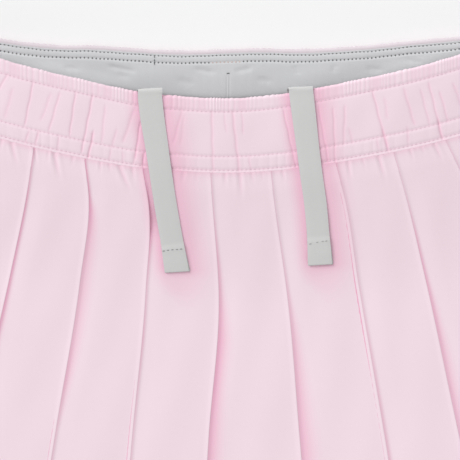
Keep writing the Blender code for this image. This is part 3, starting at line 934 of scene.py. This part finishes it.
shorts_back = make_shorts("shorts_back", lining_face, 90)
for number, row in enumerate(LINING_ROWS):
    places = along_row(0.128, LINING_PITCH)
    other = (places > BEIGE_FROM) & (places < BEIGE_TO) & (number == 1)
    size = ((0.00090, 0.00060, 0.0003), (0.00085, 0.00095, 0.0003))[number]
    row = row + 0.00014 * np.sin(places / 0.0047 + number) + 0.0001 * np.sin(places / 0.0019)
    kinds = (str(number + 1), ~other, grey_thread), ("mended", other, beige_thread)
    for kind, which, thread in kinds[: number + 1]:
        name = "lining_stitches_" + kind
        made = stitches_on(name, lining_face, places[which], row[which], size, thread, "grey_knit")
tack = stitches_on(
    "back_seam_tack",
    lining_face,
    (-0.0004, 0.0, 0.0004),
    BACK_SEAM_START,
    (0.0006, 0.0006, 0.0003),
    grey_thread,
    "grey_knit",
)
bar_spots = np.linspace(TACK_FROM, TACK_TO, 3)
bar = stitch_row(
    "lining_tack",
    np.array([(TACK_PLACE, y, BAND_WALL + SEAM_GAP + CLOTH) for y in bar_spots]),
    np.array([(0.0, 1.0, 0.0)] * 3),
    np.array([(0.0, 0.0, 1.0)] * 3),
    (0.0011, 0.00028, 0.00025),
    grey_thread,
)
hand_over(bar, "grey_knit")
shorts_front = make_shorts("shorts_front", front_shorts_face, 24)

# --- Front waistband ---
# The front's band is the same elastic casing, gathered so that fine ruffles stand along its
# top edge, with long uneven creases between its rows of stitching and a rolled lower edge.
FRONT_BAND_COLUMNS = 980
CHANNEL_PITCH = 0.0045
PINK_THREAD = (0.80, 0.58, 0.67)
CORD_SHADES = (0.62, 0.58)  # painted shadow on the cloth to a cord's left and right
CORD_SHADE_REACHES = (0.0034, 0.0072)
RUFFLE_ANGLES = (-24, -17, -12, -8, -4, -1, 1.4, 2.2, 4, 6, 9, 13, 17, 24)
RUFFLE_STRENGTHS = (1.0, 0.9, 0.7, 1.0, 0.9, 1.0, 0.9, 0.25, 0.4, 0.8, 1.0, 0.8, 1.0, 1.0)
FRONT_CREASES = creases(
    (-22.8, -23.0, 5, 26, 0.28, 0.59),
    (-21.9, -21.7, 4, 31, 0.40, 0.45),
    (-20.9, -21.1, 6, 24, 0.32, 0.59),
    (-20.0, -19.8, 4, 31, 0.44, 0.39),
    (-18.8, -19.1, 5, 22, 0.28, 0.52),
    (-18.0, -17.9, 7, 30, 0.36, 0.45),
    (-17.2, -17.4, 5, 20, 0.24, 0.52),
    (-16.4, -16.8, 4, 14, 0.36, 0.45),
    (-15.8, -15.8, 9, 25, 0.20, 0.72),
    (-14.5, -14.3, 4, 26, 0.40, 0.39),
    (-13.9, -14.0, 25, 33, 0.32, 0.39),
    (-13.3, -13.3, 24, 33, 0.40, 0.38),
    (-13.0, -13.3, 7, 22, 0.20, 0.65),
    (-12.4, -12.6, 6, 26, 0.32, 0.45),
    (-11.8, -11.8, 24, 33, 0.24, 0.39),
    (-11.3, -11.1, 4, 26, 0.40, 0.39),
    (-10.0, -10.1, 4, 32, 0.48, 0.39),
    (-9.5, -9.6, 19, 34, 0.68, 0.38),
    (-9.0, -8.8, 7, 26, 0.24, 0.52),
    (-7.9, -8.1, 16, 27, 0.24, 0.52),
    (-8.1, -8.2, 25, 33, 0.24, 0.39),
    (-7.3, -7.2, 25, 33, 0.24, 0.39),
    (-6.8, -7.4, 6, 24, 0.32, 0.72),
    (-6.4, -6.5, 26, 33, 0.28, 0.39),
    (-6.3, -6.4, 11, 30, 0.60, 0.38),
    (-5.8, -5.8, 24, 34, 0.64, 0.38),
    (-3.3, -3.9, 4, 22, 0.28, 0.59),
    (-3.2, -3.3, 7, 22, 0.20, 0.59),
    (-1.2, -1.0, 4, 34, 0.32, 0.45),
    (-0.3, -0.1, 5, 16, 0.20, 0.45),
    (0.3, 0.8, 4, 34, 0.40, 0.52),
    (1.0, 1.1, 5, 17, 0.24, 0.45),
    (1.4, 1.6, 24, 33, 0.24, 0.39),
    (4.0, 4.7, 5, 34, 0.48, 0.39),
    (6.6, 6.9, 6, 34, 0.48, 0.39),
    (7.7, 7.3, 8, 34, 0.40, 0.39),
    (8.6, 8.0, 8, 27, 0.32, 0.45),
    (8.6, 8.7, 18, 27, 0.24, 0.52),
    (10.7, 11.0, 4, 32, 0.44, 0.38),
    (10.95, 11.05, 21, 34, 0.40, 0.38),
    (11.5, 11.4, 8, 20, 0.20, 0.59),
    (10.4, 10.4, 24, 32, 0.24, 0.39),
    (12.7, 12.4, 22, 32, 0.24, 0.45),
    (13.0, 13.2, 6, 25, 0.32, 0.52),
    (14.2, 14.2, 8, 26, 0.28, 0.45),
    (14.9, 14.8, 6, 33, 0.40, 0.39),
    (14.85, 14.8, 22, 34, 0.40, 0.38),
    (15.5, 15.5, 11, 27, 0.32, 0.45),
    (16.6, 16.7, 9, 22, 0.28, 0.52),
    (17.5, 17.6, 5, 30, 0.36, 0.39),
    (18.4, 18.2, 6, 24, 0.28, 0.59),
    (19.2, 19.4, 4, 32, 0.44, 0.39),
    (20.3, 20.2, 7, 25, 0.32, 0.52),
    (21.3, 21.5, 4, 31, 0.40, 0.45),
    (22.5, 22.4, 6, 27, 0.32, 0.52),
)


def front_band_middle(share, down):
    """Height of the middle of the front waistband, which lies on the front shorts."""
    return front_shorts_floor(share, down) + CLOTH + LAYER_GAP + BAND_WALL / 2


def gathered(angle, down):
    """How strongly the top edge is gathered here. It is 0 below its row of stitches."""
    strength = np.interp(angle, RUFFLE_ANGLES, RUFFLE_STRENGTHS)
    return strength * (1 - smooth((down - 0.0042) / 0.0026))


def front_relief(place, down):
    """How far the gathered cloth stands out from the band, or in."""
    angle = angle_of(place, down)
    channel = smooth((down - 0.0249) / 0.0014) * (1 - smooth((down - 0.0309) / 0.0012))
    between = np.sin(math.pi * np.clip((down - STITCH_ROWS[0]) / 0.0197, 0, 1))
    fine = 0.00018 * gathered(angle, down) * ruffles(place, RUFFLE_PITCH, 1.0)
    puckers = 0.00012 * channel * ruffles(place, CHANNEL_PITCH, 4.0)
    pillows = between * (0.00025 + 0.00012 * np.sin(place / 0.0037 + 2 * np.sin(down / 0.02)))
    dips = near_rows(down, STITCH_ROWS, 0.00055) * (0.85 + 0.15 * np.sin(math.tau * place / STITCH_PITCH))
    raised = fine + puckers + pillows + 0.00016 * near_rows(down, (0.0328,), 0.0006)
    return raised - 0.00028 * dips - 0.6 * creased(angle, down, FRONT_CREASES)


def beside_cords(points):
    """How much painted shadow the cloth gets beside the cords, where less light reaches it, furthest at
    their right.
    """
    shade = 0 * points[..., 0]
    for cord in (LEFT_CORD, RIGHT_CORD):
        for start, end in zip(cord[8:], cord[9:]):
            run = np.array(end[:2]) - np.array(start[:2])
            away = points[..., :2] - np.array(start[:2])
            share = np.clip(away @ run / (run @ run), 0, 1)
            away = away - share[..., None] * run
            beyond = np.maximum(0, np.linalg.norm(away, axis=-1) - CORD_WIDTH / 2)
            right = smooth(0.5 + away[..., 0] / CORD_WIDTH)
            most = CORD_SHADES[0] + (CORD_SHADES[1] - CORD_SHADES[0]) * right
            reach = CORD_SHADE_REACHES[0] + (CORD_SHADE_REACHES[1] - CORD_SHADE_REACHES[0]) * right
            past = smooth(1 - (cord[-1].y - points[..., 1]) / 0.002)
            here = most * np.exp(-((beyond / reach) ** 2)) * (0.5 + 0.5 * past)
            shade = np.maximum(shade, here)
    return shade


def front_painted_shade(place, down, level):
    """How much painted shade the band gets in its creases, along its stitches, between its ruffles and
    beside the cords.
    """
    angle = angle_of(place, down)
    folds = np.minimum(0.5, creased(angle, down, FRONT_CREASES) / 0.0009)
    rows = near_rows(down, STITCH_ROWS, 0.00045)
    dips = gathered(angle, down) * 0.25 * (1 - ruffles(place, RUFFLE_PITCH, 1.0)) ** 2
    beside = beside_cords(on_fan(place, 0 * place, down, front_radius))
    return (1 - (1 - folds) * (1 - 0.15 * rows) * (1 - dips) * (1 - beside)) * (level > 0)


def front_band_face(place, down):
    """Points of the front band's outside."""
    height = front_band_middle(place / arc_half(down), down) + BAND_WALL / 2
    return on_fan(place, height + front_relief(place, down), down, front_radius)


waistband_front = band_mesh(
    "waistband_front",
    FRONT_BAND_COLUMNS,
    front_band_middle,
    -1,
    front_relief,
    front_radius,
    56,
    front_painted_shade,
    pink_cloth,
)
pink_thread = thread_finish("pink_thread", PINK_THREAD)
for number, row in enumerate(STITCH_ROWS):
    places = along_row(arc_half(row) - 0.006, STITCH_PITCH)
    name = "band_stitches_%d" % (number + 1)
    size = (0.0013, 0.00032, 0.00024)
    made = stitches_on(name, front_band_face, places, row, size, pink_thread, "pink_cloth")
hand_over(waistband_front, "pink_cloth", "waistband_front")

# --- Front skirt ---
# The front's panel is pressed into deep pleats whose folds point to the right. Each panel that
# shows rises from under the fold before it onto the folded layers of the next.
SIDE_SLOPE = 0.007
SHORTS_DROP = 0.025
PLEAT_ROWS = (SEAM_ROW, 0.048, 0.085, 0.145, LENGTH)
Pleat = namedtuple("Pleat", "seam yoke upper middle hem tuck_at_seam tuck_at_hem")
FRONT_PLEATS = [Pleat(*row) for row in (
    (-20.70, -20.60, -20.60, -20.70, -20.60, 0.007, 0.010),
    (-17.25, -17.10, -17.00, -16.95, -16.80, 0.009, 0.011),
    (-13.35, -13.15, -13.00, -13.00, -12.90, 0.011, 0.010),
    (-9.80, -9.15, -8.85, -8.90, -8.90, 0.011, 0.011),
    (-5.80, -5.20, -4.90, -4.95, -4.90, 0.011, 0.010),
    (-1.20, -1.00, -0.55, -1.00, -1.00, 0.011, 0.010),
    (2.90, 3.05, 3.50, 3.70, 3.80, 0.010, 0.012),
    (7.35, 7.65, 7.80, 8.05, 8.10, 0.012, 0.011),
    (11.35, 11.55, 11.75, 11.80, 11.90, 0.010, 0.010),
    (15.00, 15.45, 15.75, 15.80, 15.90, 0.010, 0.011),
    (19.00, 19.40, 19.65, 19.80, 19.90, 0.010, 0.010),
)]
# At these rows, how deep each fold's shadow is, 1 for a plain one, and how wide, in mm: the fold's step
# draws part of it and painted shade the rest.
SHADE_ROWS = (SEAM_ROW, 0.048, 0.056, 0.068, 0.085, 0.105, 0.125, 0.150, LENGTH)
FOLD_DEPTHS = (
    (0.6, 0.7, 0.9, 1.0, 1.0, 1.0, 0.9, 0.8, 0.8),
    (0.6, 0.7, 0.9, 1.1, 1.0, 0.9, 0.9, 0.8, 0.8),
    (0.7, 0.8, 1.1, 1.2, 1.1, 1.0, 1.0, 0.9, 0.8),
    (1.1, 1.4, 1.0, 0.65, 0.6, 0.6, 0.75, 0.45, 0.8),
    (1.2, 1.7, 2.2, 0.8, 0.5, 0.7, 0.55, 0.4, 0.7),
    (0.4, 0.4, 0.6, 0.75, 0.75, 0.95, 0.95, 0.8, 0.9),
    (0.4, 0.25, 0.35, 0.4, 0.55, 0.65, 0.7, 0.7, 0.8),
    (0.5, 0.3, 0.3, 0.25, 0.35, 0.5, 0.6, 0.65, 0.8),
    (0.3, 0.25, 0.45, 0.8, 0.85, 0.8, 0.65, 0.7, 0.8),
    (0.3, 0.4, 0.6, 0.8, 0.9, 0.8, 0.7, 0.7, 0.8),
    (0.5, 0.5, 0.7, 0.8, 0.8, 0.9, 0.8, 0.7, 0.7),
)
FOLD_WIDTHS = (
    (0.7, 0.8, 0.8, 0.8, 1.0, 1.2, 1.5, 2.0, 2.0),
    (0.6, 0.7, 0.8, 0.8, 1.1, 1.4, 1.6, 1.9, 1.8),
    (0.6, 0.6, 0.7, 0.8, 0.9, 1.2, 1.2, 1.5, 1.5),
    (0.6, 0.7, 1.9, 2.8, 2.9, 2.7, 1.9, 0.6, 2.0),
    (0.6, 0.9, 1.4, 0.7, 0.6, 0.7, 0.6, 0.6, 1.5),
    (0.5, 0.5, 0.5, 0.7, 1.4, 3.0, 2.8, 3.6, 3.0),
    (0.4, 0.4, 0.4, 0.5, 0.8, 2.2, 3.0, 4.2, 3.0),
    (0.6, 0.5, 0.5, 0.5, 0.5, 0.6, 0.8, 0.9, 2.0),
    (0.5, 0.5, 0.5, 0.7, 0.9, 1.6, 2.4, 2.6, 2.5),
    (0.5, 0.5, 0.6, 0.8, 1.0, 1.5, 2.2, 2.5, 2.5),
    (0.6, 0.6, 0.7, 0.8, 1.1, 1.3, 1.8, 2.2, 2.2),
)
EDGE_LIFT = 0.0002  # a pressed fold's edge curls up a little
SEAM_SETTLE = 0.0003  # how much lower the pleats lie where the band holds them
SEAM_SETTLE_REACH = 0.009
HEM_ROW = LENGTH - 0.014
HEM_STITCH_PITCH = 0.0024
PUCKERS_FROM = 33.0  # mm down
Pucker = namedtuple("Pucker", "top bottom end depth width")  # degrees, then mm
SEAM_PUCKERS = [Pucker(*row) for row in (
    (-22.4, -22.2, 41, 0.30, 0.9),
    (-19.2, -19.0, 43, 0.35, 1.0),
    (-18.3, -18.2, 38, 0.25, 0.6),
    (-15.6, -15.5, 39, 0.25, 0.7),
    (-14.9, -14.0, 44, 0.40, 1.0),
    (-13.3, -12.8, 41, 0.30, 0.7),
    (-12.3, -12.2, 38, 0.20, 0.6),
    (-11.9, -11.1, 46, 0.45, 1.1),
    (-10.6, -10.6, 38, 0.25, 0.6),
    (-8.7, -8.6, 39, 0.25, 0.6),
    (-8.1, -7.9, 38, 0.25, 0.6),
    (-7.4, -6.3, 46, 0.50, 1.1),
    (-6.5, -6.3, 40, 0.35, 0.8),
    (-3.0, -3.1, 39, 0.25, 0.8),
    (-2.1, -2.2, 38, 0.20, 0.6),
    (-0.2, -0.2, 40, 0.25, 0.8),
    (0.8, 0.9, 47, 0.35, 1.0),
    (1.6, 1.7, 39, 0.25, 0.7),
    (2.3, 2.3, 38, 0.20, 0.6),
    (3.7, 3.8, 39, 0.25, 0.7),
    (5.2, 5.4, 41, 0.30, 0.8),
    (8.2, 8.2, 43, 0.30, 0.8),
    (9.2, 9.3, 38, 0.25, 0.6),
    (10.3, 10.5, 46, 0.45, 0.9),
    (12.5, 12.6, 39, 0.25, 0.7),
    (13.3, 13.4, 38, 0.20, 0.6),
    (14.2, 14.5, 43, 0.40, 0.8),
    (16.1, 16.2, 40, 0.30, 0.7),
    (17.2, 17.4, 44, 0.35, 0.9),
    (20.4, 20.6, 41, 0.30, 0.8),
    (21.8, 21.9, 39, 0.25, 0.7),
)]


def front_skirt_floor(place, down):
    """Underside of the front skirt: over the shorts, beside them, and down at its side."""
    half = arc_half(down)
    over = front_shorts_floor(place / half, down) + CLOTH + LAYER_GAP
    beside = PLEAT_STACK + LAYER_GAP
    past_legs = smooth((down - SHORTS_LENGTH - CLOTH) / SHORTS_DROP)
    shorts_side = shorts_half(np.minimum(down, SHORTS_LENGTH))
    past_side = smooth((np.abs(place) - shorts_side - CLOTH) / SHORTS_DROP)
    height = over + (beside - over) * np.maximum(past_legs, past_side)
    at_side = smooth((np.abs(place) - half + SIDE_SLOPE) / SIDE_SLOPE)
    return height + (CLOTH + SEAM_GAP - height) * at_side


def puckered(angle, down):
    """How the cloth dips and rises just under the seam, where the band gathers it in."""
    height = 0 * angle * down
    for c in SEAM_PUCKERS:
        share = np.clip((down * 1000 - PUCKERS_FROM) / (c.end - PUCKERS_FROM), 0, 1)
        middle = c.top + (c.bottom - c.top) * share
        across = np.abs(np.radians(angle - middle) * (FAN_TOP + down) * 1000 / c.width)
        dip = np.exp(-(across**2)) - 0.55 * np.exp(-(((across - 1.7) / 0.9) ** 2))
        height = height - 0.75 * c.depth / 1000 * (1 - smooth(share)) * dip
    return height


FRONT_COLUMNS = 44
COLUMNS_A_PLEAT = FRONT_COLUMNS + 16
FRONT_ROWS = spaced((0.0327, 0.050, 20), (0.050, 0.160, 26), (0.160, LENGTH, 16))
NESTLE = 0.6


def make_skirt_front():
    """The front's pleats. Gives the piece, and the places and heights of its hem's stitches."""
    down = FRONT_ROWS
    angles = np.stack([through(PLEAT_ROWS, pleat[:5], down) for pleat in FRONT_PLEATS], -1)
    folds = np.radians(angles) * (FAN_TOP + down[:, None])
    ends = (SEAM_ROW, LENGTH)
    tucks = np.stack([np.interp(down, ends, pleat[5:]) for pleat in FRONT_PLEATS], -1)
    depths = np.stack([np.interp(down, SHADE_ROWS, row) for row in FOLD_DEPTHS], -1)
    widths = np.stack([np.interp(down, SHADE_ROWS, row) for row in FOLD_WIDTHS], -1) / 1000
    gaping = np.maximum(0, depths - 1)
    steps = 0.00017 + 0.00004 * depths**2 + 0.02 * widths + 0.0005 * gaping**2
    nestle = NESTLE - 0.3 * gaping
    sides = 2 * LAYER_STEP
    half = arc_half(down)
    place, drop = pleated_line(folds, tucks, steps, half, sides, FRONT_COLUMNS, nestle)
    rows = np.repeat(down[:, None], place.shape[1], axis=1)
    angle = angle_of(place, rows)
    to_fold = np.min(np.abs(place[:, :, None] - folds[:, None, :]), axis=2)
    lift = EDGE_LIFT * (1 - smooth(to_fold / 0.0016)) * (drop < 0.0003)
    settle = SEAM_SETTLE * (1 - smooth((rows - BAND_DEPTH) / SEAM_SETTLE_REACH))
    waves = 0.00015 * np.sin(angle * 1.9 + rows * 31) * np.sin(rows * 47 + 0.4 * angle)
    waves = waves * smooth((rows - 0.040) / 0.02)
    close = closing(place, rows)
    height = front_skirt_floor(place, rows) + PLEAT_STACK - SKIRT_WALL / 2 - drop + lift
    height = height - settle * (1 - close) - (CLOTH - SKIRT_WALL) * close + waves * (1 - close)
    inside = np.arange(place.shape[1]) % COLUMNS_A_PLEAT - FRONT_COLUMNS
    tucked = -0.0005 * (1 - smooth((rows - 0.034) / 0.012))
    under = np.clip(inside / 4, 0, 1)
    height = height + (puckered(angle, rows) * (1 - under) + tucked * under) * (1 - close)
    points = on_fan(place, height, rows, front_radius)
    before = np.concatenate((np.full((len(down), 1), -1.0), folds), axis=1)
    past = place[:, :, None] - before[:, None, :]
    past = np.where(past >= 0, past, 1.0)
    pleat = np.argmin(past, axis=2)
    past = np.min(past, axis=2)
    depth, width = (
        np.take_along_axis(np.concatenate((table[:, :1], table), axis=1), pleat, axis=1)
        for table in (depths, widths)
    )
    # Painted shade: richer pink beside each fold's edge, in the puckers under the seam, along the band's
    # lower edge, beside the cords, and on each fold's turn and the layers under it.
    painted_shade_and_lip = np.minimum(1.0, 0.95 * depth) * np.exp(-((past / (1.25 * width)) ** 2))
    gathers = np.clip(-puckered(angle, rows) / 0.0012, 0, 0.16)
    seam = 0.3 * np.exp(-np.maximum(0, rows - BAND_DEPTH) / 0.0008)
    painted_shade_and_lip = 1 - (1 - painted_shade_and_lip) * (1 - gathers) * (1 - seam) * (1 - beside_cords(points))
    painted_shade_and_lip = np.where(inside[None, :] < 0, painted_shade_and_lip, np.maximum(painted_shade_and_lip, under))
    piece = cloth_panel("skirt_front", points, rows, pink_cloth, SKIRT_WALL, painted_shade_and_lip)
    return piece, place, height


skirt_front, front_places, front_heights = make_skirt_front()
near = int(np.argmin(np.abs(FRONT_ROWS - HEM_ROW)))
on_top = np.arange(front_places.shape[1]) % COLUMNS_A_PLEAT < FRONT_COLUMNS


def front_hem_face(place, down):
    """Points on the front's panels at the row of its hem's stitches."""
    height = np.interp(place, front_places[near, on_top], front_heights[near, on_top])
    return on_fan(place, height + SKIRT_WALL / 2, FRONT_ROWS[near] + 0 * down, front_radius)


hem_stitches = stitches_on(
    "hem_stitches",
    front_hem_face,
    along_row(arc_half(HEM_ROW) - 0.004, HEM_STITCH_PITCH),
    HEM_ROW,
    (0.0019, 0.0003, 0.0002),
    pink_thread,
    "pink_cloth",
)
hand_over(skirt_front, "pink_cloth", "skirt_front")

# --- Floor and light ---
# The garment lies on a plain pale floor. A broad soft light stands above and to the left, with
# even light from all round.
FLOOR_COLOUR = (0.887, 0.889, 0.889)
FLOOR_SIZE = 40.0
FLOOR_LEVEL = -0.0003
AMBIENT = 0.70
KEY_FROM = (-4.1, 3.2, 3.1)  # the direction from which the light comes
KEY_SPREAD = 35.0  # degrees across
KEY_STRENGTH = 2.1

bpy.ops.object.select_all(action="DESELECT")
bpy.ops.mesh.primitive_plane_add(size=FLOOR_SIZE, location=(0, 0, FLOOR_LEVEL))
floor = bpy.context.object
floor.name = "floor"
bpy.ops.object.transform_apply(location=True)
floor_finish, floor_tree, floor_shader = new_finish("pale_floor", 0.9, 0.1)
feed(floor_tree, floor_shader, {"Base Color": (*FLOOR_COLOUR, 1.0)})
floor.data.materials.append(floor_finish)

world = bpy.data.worlds.new("studio")
world.use_nodes = True
even_light = {"Color": (1.0, 1.0, 1.0, 1.0), "Strength": AMBIENT}
feed(world.node_tree, world.node_tree.nodes["Background"], even_light)
bpy.context.scene.world = world

key_light = bpy.data.lights.new("key", "SUN")
key_light.angle = math.radians(KEY_SPREAD)
key_light.energy = KEY_STRENGTH
key = in_scene("key", key_light)
key.rotation_euler = (
    math.atan2(math.hypot(KEY_FROM[0], KEY_FROM[1]), KEY_FROM[2]),
    0.0,
    math.atan2(-KEY_FROM[1], -KEY_FROM[0]) - math.pi / 2,
)
bpy.context.scene.view_settings.view_transform = "Standard"
